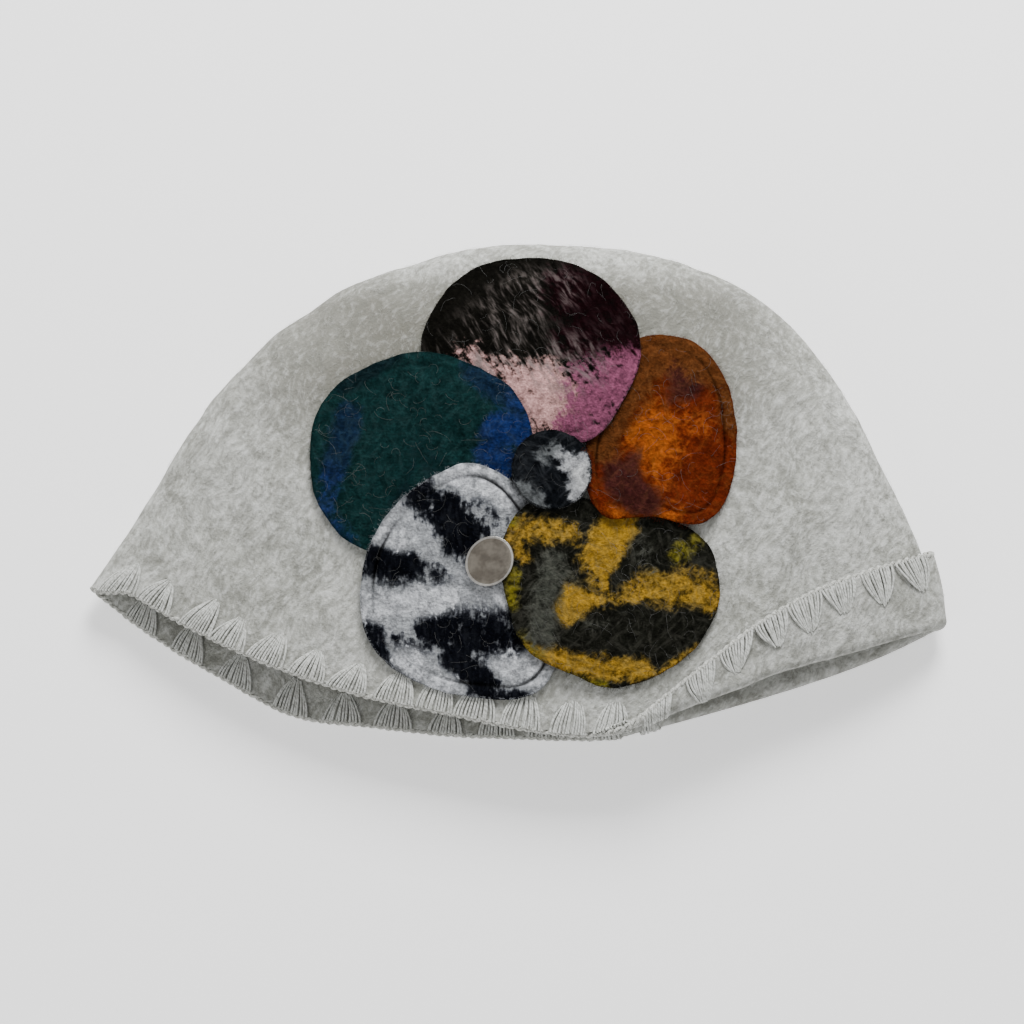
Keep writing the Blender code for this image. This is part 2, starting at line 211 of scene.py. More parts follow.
def roundSkin(sides, rows, pointAt):
    # a grid rolled round a pole, its seam and pole welded
    mesh = bmesh.new()
    bmesh.ops.create_grid(mesh, x_segments=sides, y_segments=rows, size=0.5)
    for vert in mesh.verts:
        vert.co = pointAt(math.tau * (vert.co.x + 0.5), vert.co.y + 0.5)
    bmesh.ops.remove_doubles(mesh, verts=mesh.verts, dist=2e-6)
    bmesh.ops.recalc_face_normals(mesh, faces=mesh.faces)
    return mesh


def makePiece(name, mesh, material):
    data = bpy.data.meshes.new(name)
    mesh.to_mesh(data)
    mesh.free()
    data.shade_smooth()
    data.materials.append(material)
    made = bpy.data.objects.new(name, data)
    bpy.context.scene.collection.objects.link(made)
    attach(made, "root")
    return made


def layPaths(name, paths, thickness, material, resolution=1):
    # each path is a list of (point, share of the thickness), made a tube
    curve = bpy.data.curves.new(name + "Paths", "CURVE")
    curve.dimensions = "3D"
    curve.bevel_depth = thickness / 2
    curve.bevel_resolution = resolution
    curve.use_fill_caps = True
    for path in paths:
        spline = curve.splines.new("POLY")
        spline.points.add(len(path) - 1)
        for point, (place, share) in zip(spline.points, path):
            point.co = (*place, 1.0)
            point.radius = share
    guide = bpy.data.objects.new(name + "Paths", curve)
    bpy.context.scene.collection.objects.link(guide)
    bpy.context.view_layer.update()
    data = bpy.data.meshes.new_from_object(guide.evaluated_get(bpy.context.evaluated_depsgraph_get()))
    bpy.data.objects.remove(guide)
    data.name = name
    data.shade_smooth()
    data.materials.clear()
    data.materials.append(material)
    made = bpy.data.objects.new(name, data)
    bpy.context.scene.collection.objects.link(made)
    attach(made, "root")
    return made


class Surface:
    # the finished surfaces of some pieces, to drop points onto and to lay hairs along
    def __init__(self, things):
        bpy.context.view_layer.update()
        graph = bpy.context.evaluated_depsgraph_get()
        self.trees = [BVHTree.FromObject(thing, graph) for thing in things]

    def top(self, x, y):
        hits = [tree.ray_cast(Vector((x, y, 1.0)), Vector((0, 0, -1))) for tree in self.trees]
        found = [(hit, out, tree) for (hit, out, _, _), tree in zip(hits, self.trees) if hit is not None]
        return max(found, key=lambda one: one[0].z) if found else (None, None, None)


class Finish:
    # a material and short ways to add and join its nodes
    def __init__(self, name, roughness, sheen=0.0, metallic=0.0):
        self.material = bpy.data.materials.new(name)
        self.material.use_nodes = True
        self.tree = self.material.node_tree
        self.shader = self.tree.nodes["Principled BSDF"]
        self.shader.inputs["Roughness"].default_value = roughness
        self.shader.inputs["Metallic"].default_value = metallic
        self.shader.inputs["Specular IOR Level"].default_value = 0.15
        self.shader.inputs["Sheen Weight"].default_value = sheen
        self.shader.inputs["Sheen Roughness"].default_value = 0.45
        self.place = self.tree.nodes.new("ShaderNodeTexCoord").outputs["Object"]

    def join(self, value, socket):
        if isinstance(value, bpy.types.NodeSocket):
            self.tree.links.new(value, socket)
        elif isinstance(value, tuple) and len(value) == 3 and len(socket.default_value) == 4:
            socket.default_value = (*value, 1.0)
        else:
            socket.default_value = value

    def turned(self, source, turn, stretch):
        # a pattern drawn out along an axis that is turned first
        node = self.tree.nodes.new("ShaderNodeMapping")
        node.vector_type = "TEXTURE"
        node.inputs["Rotation"].default_value = turn
        node.inputs["Scale"].default_value = stretch
        self.join(source, node.inputs["Vector"])
        return node.outputs["Vector"]

    def noise(self, source, scale, detail=2.0, rough=0.5, warp=0.0, colour=False):
        node = self.tree.nodes.new("ShaderNodeTexNoise")
        node.inputs["Scale"].default_value = scale
        node.inputs["Detail"].default_value = detail
        node.inputs["Roughness"].default_value = rough
        node.inputs["Distortion"].default_value = warp
        self.join(source, node.inputs["Vector"])
        return node.outputs["Color" if colour else "Fac"]

    def calc(self, kind, first, second=None, third=None):
        node = self.tree.nodes.new("ShaderNodeMath")
        node.operation = kind
        for index, value in enumerate((first, second, third)):
            if value is not None:
                self.join(value, node.inputs[index])
        return node.outputs[0]

    def between(self, value, low, high, newLow=0.0, newHigh=1.0):
        node = self.tree.nodes.new("ShaderNodeMapRange")
        node.interpolation_type = "SMOOTHSTEP"
        ends = {"From Min": low, "From Max": high, "To Min": newLow, "To Max": newHigh}
        for label, number in ends.items():
            node.inputs[label].default_value = number
        self.join(value, node.inputs["Value"])
        return node.outputs["Result"]

    def mix(self, share, first, second, kind="MIX"):
        node = self.tree.nodes.new("ShaderNodeMix")
        node.data_type = "RGBA"
        node.blend_type = kind
        self.join(share, node.inputs[0])
        self.join(first, node.inputs[6])
        self.join(second, node.inputs[7])
        return node.outputs[2]

    def shifted(self, source, scale, reach):
        # the place moved about by a soft noise, so that fibres wander
        wander = self.noise(source, scale, 1.0, colour=True)
        node = self.tree.nodes.new("ShaderNodeVectorMath")
        node.operation = "MULTIPLY_ADD"
        self.join(wander, node.inputs[0])
        node.inputs[1].default_value = (reach, reach, reach)
        self.join(source, node.inputs[2])
        return node.outputs[0]

    def bump(self, height, strength, distance, under=None):
        node = self.tree.nodes.new("ShaderNodeBump")
        node.inputs["Strength"].default_value = strength
        node.inputs["Distance"].default_value = distance
        self.join(height, node.inputs["Height"])
        if under is not None:
            self.join(under, node.inputs["Normal"])
        return node.outputs["Normal"]

    def finish(self, colour, normal=None, roughness=None):
        self.join(colour, self.shader.inputs["Base Color"])
        if normal is not None:
            self.join(normal, self.shader.inputs["Normal"])
        if roughness is not None:
            self.join(roughness, self.shader.inputs["Roughness"])
        return self.material


def fibresOf(finish, scale, stretch, wander, ways=(0.4, 1.5, 2.6)):
    # fibre streaks that run some ways and wander, each set a noise drawn out along one way
    place = finish.shifted(finish.place, scale / 9, wander)
    found = None
    for turn in ways:
        laid = finish.turned(place, (0.0, 0.0, turn), (1.0, stretch, 1.5))
        one = finish.noise(laid, scale, 2.0, 0.6)
        found = one if found is None else finish.calc("MAXIMUM", found, one)
    return found


def crownFeltFinish():
    s = {"light": (0.47, 0.475, 0.445), "mid": (0.365, 0.369, 0.335), "dark": (0.150, 0.150, 0.128),
         "pale": (0.68, 0.69, 0.67), "warmShade": (0.112, 0.106, 0.084), "ways": (-0.55, 0.9), "calmedInShade": -0.62,
         "shadeAcross": (0.118, 0.064), "shadeBelow": (-0.010, 0.036), "shadeAbove": (0.085, 0.064)}
    f = Finish("crownFelt", 0.97, sheen=0.04)
    cloud = f.noise(f.place, 26.0, 3.0, 0.55)
    patches = f.noise(f.place, 135.0, 3.0, 0.6, 0.3)
    wandered = f.shifted(f.place, 45.0, 0.012)
    heather = f.noise(f.turned(wandered, (0.0, 0.0, s["ways"][0]), (1.0, 2.1, 1.5)), 560.0, 4.0, 0.62)
    crossed = f.noise(f.turned(wandered, (0.0, 0.0, s["ways"][1]), (1.0, 1.7, 1.5)), 380.0, 3.0, 0.58)
    specks = f.noise(f.place, 900.0, 2.0, 0.55)
    fibres = fibresOf(f, 950.0, 6.0, 0.006)
    flecks = fibresOf(f, 620.0, 5.0, 0.010)
    parts = f.tree.nodes.new("ShaderNodeSeparateXYZ")
    f.join(f.place, parts.inputs[0])
    # a warmer tone with painted shade: round the flower's upper half the felt is painted warmer, darker and
    # calmer
    across, up = parts.outputs["X"], parts.outputs["Y"]
    paintedShade = f.calc("MULTIPLY", f.between(up, *s["shadeBelow"]), f.between(up, *s["shadeAbove"]))
    paintedShade = f.calc("MULTIPLY", paintedShade, f.between(f.calc("ABSOLUTE", across), *s["shadeAcross"]))
    colour = f.mix(f.between(cloud, 0.38, 0.64), s["mid"], s["light"])
    # painted shade: the warm dark tint is mixed in round the flower's upper half
    colour = f.mix(f.calc("MULTIPLY", paintedShade, f.between(cloud, 0.30, 0.66, 0.60, 0.95)), colour, s["warmShade"])
    calmInShade = f.calc("MULTIPLY_ADD", paintedShade, s["calmedInShade"], 1.0)
    # each pattern with the values it starts and is full at, its share then, and its tint
    for pattern, low, high, most, tint in (
        (patches, 0.60, 0.34, 0.42, "dark"), (heather, 0.54, 0.34, 0.46, "dark"),
        (heather, 0.50, 0.68, 0.44, "pale"), (crossed, 0.46, 0.30, 0.42, "dark"),
        (crossed, 0.54, 0.72, 0.26, "pale"), (specks, 0.36, 0.28, 0.35, "dark"),
        (fibres, 0.62, 0.78, 0.28, "pale"), (flecks, 0.67, 0.79, 0.30, "dark"),
    ):
        share = f.between(pattern, low, high, 0.0, most)
        colour = f.mix(f.calc("MULTIPLY", share, calmInShade) if tint == "pale" else share, colour, s[tint])
    return f.finish(colour, f.bump(f.calc("MULTIPLY_ADD", heather, 1.8, specks), 0.5, 0.0008))


def yarnFinish(name, light, dark):
    f = Finish(name, 0.9, sheen=0.05)
    ply = f.noise(f.turned(f.place, (0.3, 0.2, 0.8), (1.0, 3.0, 1.0)), 1500.0, 3.0, 0.6)
    soft = f.noise(f.place, 90.0, 2.0)
    colour = f.mix(f.between(ply, 0.35, 0.6), dark, light)
    colour = f.mix(f.calc("MULTIPLY", f.between(soft, 0.5, 0.7), 0.25), colour, dark)
    return f.finish(colour, f.bump(ply, 0.4, 0.0004))


crownFelt = crownFeltFinish()
stitchYarn = yarnFinish("stitchYarn", (0.64, 0.65, 0.62), (0.36, 0.365, 0.335))
edgeYarn = yarnFinish("edgeYarn", (0.56, 0.565, 0.53), (0.27, 0.27, 0.245))
print("felt and yarn finishes made")

# Sizes of the flower in metres, with the sunk line where a petal is sewn and the lumps of its felt
flowerSettings = {
    "size": 0.0356, "across": 0.0124, "down": 0.0935, "spokes": 168, "thick": 0.0018, "frayed": 0.00022,
    "groovePlace": 0.0046, "grooveWidth": 0.0006, "grooveDepth": 0.0008, "edgePuff": 0.0003, "puff": 0.0003,
    "puffFull": 0.006, "lumps": ((0.00024, 120), (0.00010, 420)), "smoothings": 5,
    # the rings of points, as distances from the edge
    "insets": (0.0, 0.0004, 0.001, 0.0017, 0.0025, 0.0033, 0.0040, 0.0045, 0.0050, 0.0055, 0.0060, 0.0067,
               0.0076, 0.0088, 0.0102, 0.0118, 0.0136, 0.0155, 0.0175, 0.0195, 0.0215, 0.0235, 0.0255,
               0.0275, 0.0300, 0.0330),
}
# each petal's middle from the flower's and its reach in twelve directions, as shares of the size
petalShapes = {
    "petal_top": (-0.195, 1.27,
        (1.11, 1.09, 1.09, 1.08, 1.12, 1.12, 1.13, 0.99, 0.84, 0.91, 1.12, 1.07)),
    "petal_left": (-1.325, 0.21,
        (1.12, 1.13, 1.03, 1.04, 1.07, 1.14, 1.12, 1.14, 1.12, 0.88, 0.78, 0.84)),
    "petal_right": (0.995, 0.465,
        (0.88, 0.93, 1.03, 0.98, 0.84, 0.70, 0.62, 0.76, 1.02, 0.92, 1.11, 0.97)),
    "petal_lower_right": (0.575, -1.28,
        (1.10, 1.14, 0.98, 0.92, 1.22, 1.23, 1.03, 0.96, 0.83, 0.86, 0.87, 0.96)),
    "petal_lower_left": (-0.745, -1.12,
        (0.80, 0.84, 0.98, 1.19, 1.15, 1.14, 1.17, 1.21, 1.12, 1.11, 1.21, 1.00)),
    "flower_centre": (0.0, 0.0, (0.404,) * 12),
}


def flowerMiddle():
    s = flowerSettings
    return s["across"] + crownSettings["moved"][0], -s["down"] + crownSettings["moved"][1]


def petalMiddle(name):
    size = flowerSettings["size"]
    middleX, middleY = flowerMiddle()
    return middleX + petalShapes[name][0] * size, middleY + petalShapes[name][1] * size


def petalReach(name, angle):
    reach = petalShapes[name][2]
    place = (angle / math.tau * 12) % 12
    index = int(place)
    before, low, high, after = (reach[(index + step) % 12] for step in (-1, 0, 1, 2))
    share = curveBetween(low, high, (high - before) / 2, (after - low) / 2, place - index)
    return flowerSettings["size"] * share


def insetIn(name, x, y):
    # how far a point lies inside a petal's edge, negative outside it
    middleX, middleY = petalMiddle(name)
    fromX, fromY = x - middleX, y - middleY
    return petalReach(name, math.atan2(fromY, fromX)) - math.hypot(fromX, fromY)


def outsideFlower(x, y):
    # how far a point lies outside the nearest petal, negative on the flower
    return min(1.0, *(-insetIn(name, x, y) for name in petalShapes))


def makeCrown():
    s = crownSettings
    wallShare = s["wallRows"] / (s["wallRows"] + s["rimRows"])

    def pointAt(angle, share):
        turned = turnedUp(angle)
        tail = s["rimZone"] * (1 - 0.9 * turned / s["cuffDepth"])
        if share < wallShare:
            last = 1 - (foldRise(angle) + tail) / lengthPerPlace(angle)
            return wallPoint(angle, share / wallShare * last)
        return rimAt(angle, (1 - (share - wallShare) / (1 - wallShare)) * (tail + turned))

    mesh = roundSkin(s["sidesRound"], s["wallRows"] + s["rimRows"], pointAt)
    mesh.normal_update()
    for vert in mesh.verts:
        outside = smoothStep(outsideFlower(vert.co.x, vert.co.y), *s["flowerEdge"])
        free = s["underFlower"] + (1 - s["underFlower"]) * outside
        lump = sum(high * noise.noise(vert.co * fine + Vector(shift)) for high, fine, shift in s["lumps"])
        vert.co += vert.normal * lump * free * smoothStep(vert.co.z, *s["offFloor"])
    crown = makePiece("crownFelted", mesh, crownFelt)
    wall = crown.modifiers.new("Felt wall", "SOLIDIFY")
    wall.thickness = s["wall"]
    wall.offset = 0.0
    wall.use_even_offset = False
    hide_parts("crown")
    return crown


crown = makeCrown()
print("crown felted")

# Shell stitches: where each shell stands along the rim, in metres from the middle, on the front and on the back
shellSettings = {
    "frontX": (-0.1475, -0.1326, -0.1167, -0.1049, -0.0912, -0.0761, -0.0613, -0.0444, -0.0302, -0.0158, 0.0003,
               0.0173, 0.0326, 0.0480, 0.0625, 0.0757, 0.0890, 0.1022, 0.1161, 0.1308, 0.1445),
    "backX": (-0.1400, -0.1225, -0.1046, -0.0840, -0.0650, -0.0460, -0.0270, -0.0080, 0.0110, 0.0300, 0.0490,
              0.0680, 0.0870, 0.1060, 0.1250, 0.1420),
    "halfBase": 0.0066, "halfTip": 0.0021, "tall": 0.0116, "strands": 12, "thick": 0.00090, "lean": 0.0030,
    "upright": (-0.045, 0.050), "wideTip": 0.0034, "lyingFlat": 0.004, "lowest": 0.0005,
    "leans": (0.2, 1.1), "talls": (0.9, 1.12), "bases": (0.92, 1.08), "lengths": (0.93, 1.04), "arched": 0.10,
    "bow": 0.0006, "bowVaries": 0.0002, "steps": 7, "pastEdge": 0.0004, "off": 0.0002, "swell": 0.0006,
    "thinner": 0.45, "stillLeans": 0.12, "nearEdge": 0.0006,
}


def rimAngle(x, front):
    s = crownSettings
    shift, width = crownRows[-1][3], crownRows[-1][2]
    across = ((x - s["moved"][0]) / (s["width"] / 2) - shift) / width
    angle = math.acos(min(max(across, -0.9995), 0.9995))
    return angle if front else -angle


def makeShells():
    s = shellSettings
    wall = crownSettings["wall"]
    paths = []
    for front, places in ((True, s["frontX"]), (False, s["backX"])):
        for x in places:
            angle = rimAngle(x, front)
            perRadian = (rimAt(angle + 0.02, 0.0) - rimAt(angle - 0.02, 0.0)).length / 0.04
            upright = front and s["upright"][0] < x < s["upright"][1]
            outside = () if rimAt(angle, 0.0).z < s["lyingFlat"] else (1,)
            for side in (*outside, -1):
                lean = s["lean"] * chance.uniform(*s["leans"]) * (s["stillLeans"] if upright else 1.0)
                tall = s["tall"] * chance.uniform(*s["talls"])
                base = s["halfBase"] * chance.uniform(*s["bases"])
                for strand in range(s["strands"]):
                    spread = 2 * strand / (s["strands"] - 1) - 1 + chance.uniform(-0.05, 0.05)
                    length = tall * (1 - s["arched"] * spread * spread) * chance.uniform(*s["lengths"])
                    foot = base * spread
                    tip = s["wideTip" if upright else "halfTip"] * spread - lean
                    bow = s["bow"] * spread + chance.uniform(-s["bowVaries"], s["bowVaries"])
                    path = []
                    for step in range(s["steps"] + 1):
                        share = step / s["steps"]
                        across = foot + (tip - foot) * share ** 1.15 + bow * math.sin(math.pi * share)
                        here = angle + across / perRadian
                        inset = length * share - s["pastEdge"]
                        out = rimOut(here, max(inset, s["nearEdge"]))[0]
                        lift = wall / 2 + s["off"] + s["swell"] * math.sin(math.pi * min(share + 0.12, 1.0))
                        point = rimAt(here, inset) + out * side * lift
                        point.z = max(point.z, s["lowest"])
                        path.append((point, 1.0 - s["thinner"] * share ** 4))
                    paths.append(path)
    shells = layPaths("shellStitches", paths, s["thick"], stitchYarn)


def makeEdging():
    s = {"ply": 0.00145, "offset": 0.00072, "pitch": 0.0062, "steps": 1500, "lowest": 0.0009,
         "wide": 1.25, "low": 0.8, "pastEdge": 0.0004, "uneven": 0.25}
    course = []
    for step in range(s["steps"]):
        angle = math.tau * step / s["steps"]
        course.append((rimAt(angle, 0.0), *rimOut(angle, 0.0012)))
    run = [0.0]
    for one, after in zip(course, course[1:] + course[:1]):
        run.append(run[-1] + (after[0] - one[0]).length)
    turns = round(run[-1] / s["pitch"])
    paths = []
    for ply in (0, 1):
        path = []
        for (point, out, toEdge), gone in zip(course + course[:1], run):
            turn = math.tau * (gone / run[-1] * turns) + math.pi * ply
            swell = 1 + s["uneven"] * noise.noise(point * 160)
            around = out * math.cos(turn) * s["wide"] + toEdge * math.sin(turn) * s["low"]
            laid = point + toEdge * s["pastEdge"] + around * s["offset"] * swell
            laid.z = max(laid.z, s["lowest"])
            path.append((laid, swell))
        paths.append(path)
    edging = layPaths("rimEdging", paths, s["ply"], edgeYarn)


makeShells()
makeEdging()
print("shell stitches and rim edging sewn")

# Dye patches of each petal: strokes from one point to another in millimetres from the flower's middle, with a
# half width, a tint and a strength. Tint 3 marks where the pale streaks lie, or else they lie all over.
# The streaks have ways and a fineness, bold, and the dyes' borders are as ragged and soft as given.
petalDyes = {
    "petal_top": {
        "base": (0.0026, 0.0024, 0.0018),
        "tints": ((0.34, 0.19, 0.18), (0.13, 0.038, 0.070), (0.0034, 0.0006, 0.0010)),
        "streak": (0.125, 0.105, 0.10), "streaked": 0.80, "ways": (0.46, 0.62),
        "bold": 430.0, "ragged": 2.1, "seam": 0.15, "soft": 9.0,
        "strokes": (
            (-30, 42, -11, 30, 4, 0, 0.66), (-11, 30, 5, 18, 8.0, 0, 1.1), (-3, 34, 9, 22, 7.0, 0, 1.05),
            (30, 43, 21, 31, 7, 1, 1.0), (21, 31, 12, 16, 8.5, 1, 1.1), (10, 35, 20, 43, 4, 1, 0.75),
            (8, 68, 25, 56, 11, 2, 1.0), (10, 50, 26, 53, 6, 2, 0.9), (-30, 42, -8, 66, 13, 3, 1.0),
            (-10, 64, 3, 70, 8, 3, 0.9), (-16, 46, 8, 41, 11, 3, 1.0), (18, 50, 24, 56, 5, 3, 0.25)),
    },
    "petal_left": {
        "base": (0.0032, 0.0142, 0.0142),
        "tints": ((0.0036, 0.0100, 0.0235), (0.0058, 0.0130, 0.058), (0.0018, 0.0060, 0.0075)),
        "streak": (0.040, 0.070, 0.070), "streaked": 0.22, "ways": (0.3, 1.5, 2.5),
        "bold": 520.0, "ragged": 0.9, "seam": 0.12, "soft": 5.5,
        "strokes": (
            (-73, 22, -78, 2, 3.5, 0, 1.0), (-79, 0, -82, -16, 4, 1, 0.55), (-82, -14, -74, -25, 4, 1, 0.5),
            (-26, 37, -12, 25, 5, 0, 1.0), (-20, 15, -5, 14, 5.5, 1, 1.0), (-22, 6, -14, 1, 4.5, 1, 1.0),
            (-12, 26, -6, 18, 4, 1, 0.6), (-76, 34, -58, 44, 3, 2, 0.9), (-52, -10, -42, -18, 6, 2, 0.6),
            (-46, 8, -40, 0, 5, 2, 0.4)),
    },
    "petal_right": {
        "base": (0.066, 0.0088, 0.0020),
        "tints": ((0.190, 0.043, 0.0050), (0.024, 0.0062, 0.0055), (0.054, 0.0170, 0.0046)),
        "streak": (0.20, 0.085, 0.03), "streaked": 0.20, "ways": (0.2, 1.3, 2.4),
        "bold": 520.0, "ragged": 0.8, "seam": 0.50, "soft": 8.0,
        "strokes": (
            (18, 10, 26, 30, 5, 2, 0.95), (30, 36, 40, 50, 8, 2, 1.0), (44, 50, 60, 38, 6, 2, 1.0),
            (64, 34, 67, 18, 3.5, 2, 0.8), (44, 43, 50, 34, 4, 1, 0.95), (24, -2, 32, -10, 5, 1, 1.0),
            (20, 4, 24, -6, 4, 1, 0.5), (34, 13, 40, 8, 6.5, 0, 1.0), (42, 17, 52, 18, 4, 0, 0.42),
            # painted highlight: the thin stroke from (22, -15) to (42, -16) lightens the petal's lower edge
            (35, 2, 38, -2, 4, 0, 0.5), (22, -15, 42, -16, 1.2, 0, 0.6)),
    },
    "petal_lower_right": {
        "base": (0.0048, 0.0050, 0.0035),
        "tints": ((0.225, 0.125, 0.011), (0.105, 0.088, 0.0062), (0.030, 0.032, 0.026)),
        "streak": (0.105, 0.100, 0.085), "streaked": 0.28, "ways": (0.2, 1.2, 2.3),
        "bold": 560.0, "ragged": 1.1, "seam": 0.22, "soft": 4.0,
        "strokes": (
            (-14, -20, 6, -22, 4.5, 0, 0.66), (-14, -24, -10, -30, 3, 0, 0.6),
            (-16, -12, -15, -18, 2, 1, 0.7),
            (24, -18, 8, -46, 6.5, 0, 1.15), (17, -43, 4, -50, 4, 0, 0.85), (34, -40, 60, -44, 7, 0, 0.70),
            (46, -36, 56, -38, 4, 0, 0.45), (44, -30, 53, -22, 3, 1, 0.55), (-9, -64, 4, -68, 4, 0, 0.85),
            (4, -68, 32, -70, 4, 0, 0.8), (3, -75, 18, -77, 2, 1, 1.0), (40, -73, 52, -64, 2.6, 0, 0.7),
            (-15, -38, -14, -46, 2, 1, 0.7), (-9, -60, -6, -66, 3, 1, 0.5), (0, -34, -4, -58, 6, 2, 0.8),
            (30, -26, 36, -34, 4, 2, 0.35), (12, -54, 20, -52, 3, 2, 0.3)),
    },
    "petal_lower_left": {
        "base": (0.25, 0.26, 0.273),
        "tints": ((0.0013, 0.0016, 0.0028), (0.070, 0.074, 0.078), (0.38, 0.39, 0.41)),
        "streak": (0.30, 0.31, 0.325), "streaked": 0.10, "ways": (-0.10, 0.12),
        "bold": 420.0, "ragged": 1.7, "seam": 0.80, "soft": 5.6,
        "strokes": (
            (-50, -5, -38, -15, 5, 0, 0.95), (-38, -14, -30, -24, 7, 0, 1.1),
            (-34, -24, -30, -32, 4.5, 0, 0.85),
            (-26, -10, -20, -16, 3.5, 0, 0.5), (-68, -31, -52, -34, 5, 0, 1.05),
            (-52, -35, -42, -37, 3, 0, 0.6),
            (-42, -56, -14, -60, 5.5, 0, 1.05), (-18, -54, -12, -50, 3.5, 0, 0.8),
            (-70, -52, -62, -68, 5.5, 0, 1.0),
            (-62, -68, -50, -79, 5, 0, 1.0), (-56, -60, -48, -62, 3.5, 0, 0.6),
            (-34, -64, -20, -80, 4.6, 0, 1.0),
            (-20, -80, -4, -83, 3.6, 0, 0.95), (-60, -44, -48, -42, 4, 1, 0.35), (-30, 3, -20, 2, 2, 1, 0.7),
            (-10, -14, -8, -22, 4, 1, 0.5), (-66, -47, -18, -45, 3.5, 2, 0.9),
            (-33, -1, -16, -8, 4.5, 2, 0.8),
            (-52, -66, -38, -76, 4, 2, 0.8), (-62, -18, -54, -24, 3.5, 2, 0.7),
            (-16, -66, -6, -72, 3.5, 2, 0.6)),
    },
    "flower_centre": {
        "base": (0.0028, 0.0034, 0.0044),
        "tints": ((0.26, 0.265, 0.275), (0.060, 0.064, 0.066), (0.36, 0.365, 0.37)),
        "streak": (0.14, 0.145, 0.15), "streaked": 0.20, "ways": (0.5, 1.4, 2.3),
        "bold": 460.0, "ragged": 1.3, "seam": 0.0, "soft": 4.4,
        "strokes": (
            (3, 6, 8, 1, 2, 0, 0.75), (9, 2, 10, -9, 2.2, 0, 1.05), (1, 8, -3, 4, 2, 1, 0.6),
            (-12, -8, -4, -13, 2, 1, 0.8), (10, -1, 11, -5, 1.4, 2, 0.8)),
    },
}


def petalFeltFinish(name, dyes):
    # the dyes are mixed as the eye sees them, so that a pale one fades evenly into a dark one
    s = {"eye": 2.2, "low": 0.12, "high": 0.80, "mottle": (0.84, 1.15), "grain": (0.90, 1.11), "curled": 0.24}
    f = Finish(name + "Felt", 0.97)
    f.shader.inputs["Specular IOR Level"].default_value = 0.02

    def seen(tint):
        return tuple(part ** (1 / s["eye"]) for part in tint)

    node = f.tree.nodes.new("ShaderNodeAttribute")
    node.attribute_name = "dye"
    parts = f.tree.nodes.new("ShaderNodeSeparateColor")
    f.join(node.outputs["Color"], parts.inputs[0])
    sewn = f.tree.nodes.new("ShaderNodeAttribute")
    sewn.attribute_name = "seam"
    drawn = fibresOf(f, dyes["bold"], 5.0, 0.006, dyes["ways"])
    curls = fibresOf(f, 900.0, 8.0, 0.014, (0.3, 1.4, 2.5))
    mottle = f.noise(f.place, 330.0, 3.0, 0.65)
    grain = f.noise(f.place, 1050.0, 2.0, 0.6)
    # the two patterns together, less their middle value, tear the borders of the dyes
    ragged = f.calc("MULTIPLY", f.calc("ADD", f.calc("ADD", drawn, mottle), -1.08), dyes["ragged"])
    colour = seen(dyes["base"])
    for index, tint in enumerate(dyes["tints"]):
        amount = parts.outputs[index]
        share = f.calc("ADD", amount, f.calc("MULTIPLY", ragged, f.between(amount, 0.0, 0.25)))
        colour = f.mix(f.between(share, s["low"], s["high"]), colour, seen(tint))
    shade = f.between(mottle, 0.30, 0.70, *s["mottle"])
    shade = f.calc("MULTIPLY", shade, f.between(grain, 0.32, 0.68, *s["grain"]))
    shade = f.calc("MULTIPLY", shade, f.calc("MULTIPLY_ADD", sewn.outputs["Fac"], -dyes["seam"], 1.0))
    bright = f.tree.nodes.new("ShaderNodeVectorMath")
    bright.operation = "SCALE"
    f.join(colour, bright.inputs[0])
    f.join(shade, bright.inputs["Scale"])
    bold = f.calc("MULTIPLY", f.between(drawn, 0.47, 0.72), node.outputs["Alpha"])
    colour = f.mix(f.calc("MULTIPLY", bold, dyes["streaked"]), bright.outputs[0], seen(dyes["streak"]))
    colour = f.mix(f.calc("MULTIPLY", f.between(curls, 0.67, 0.79), s["curled"]), colour, seen(dyes["streak"]))
    real = f.tree.nodes.new("ShaderNodeGamma")
    real.inputs["Gamma"].default_value = s["eye"]
    f.join(colour, real.inputs["Color"])
    return f.finish(real.outputs[0], f.bump(f.calc("MULTIPLY_ADD", mottle, 1.6, grain), 0.55, 0.0009))


def dyeAt(strokes, soft, x, y):
    # how much of each tint lies at a point, from the strokes that pass it, and whether the streaks do
    found = [0.0, 0.0, 0.0, 0.0 if any(stroke[5] == 3 for stroke in strokes) else 1.0]
    place = Vector((x, y, 0.0)) * 0.001
    # the strokes' own borders wander by a millimetre or two
    x += 1.6 * noise.noise(place * 95) + 1.1 * noise.noise(place * 260)
    y += 1.6 * noise.noise(place * 95 + Vector((5, 8, 1)))
    y += 1.1 * noise.noise(place * 260 + Vector((2, 6, 4)))
    for startX, startY, endX, endY, width, tint, strength in strokes:
        alongX, alongY = endX - startX, endY - startY
        share = ((x - startX) * alongX + (y - startY) * alongY) / (alongX * alongX + alongY * alongY)
        share = min(max(share, 0.0), 1.0)
        away = math.hypot(x - startX - share * alongX, y - startY - share * alongY)
        found[tint] = max(found[tint], strength * (1 - smoothStep(away, 0.3 * width, 0.9 * width + soft)))
    return found


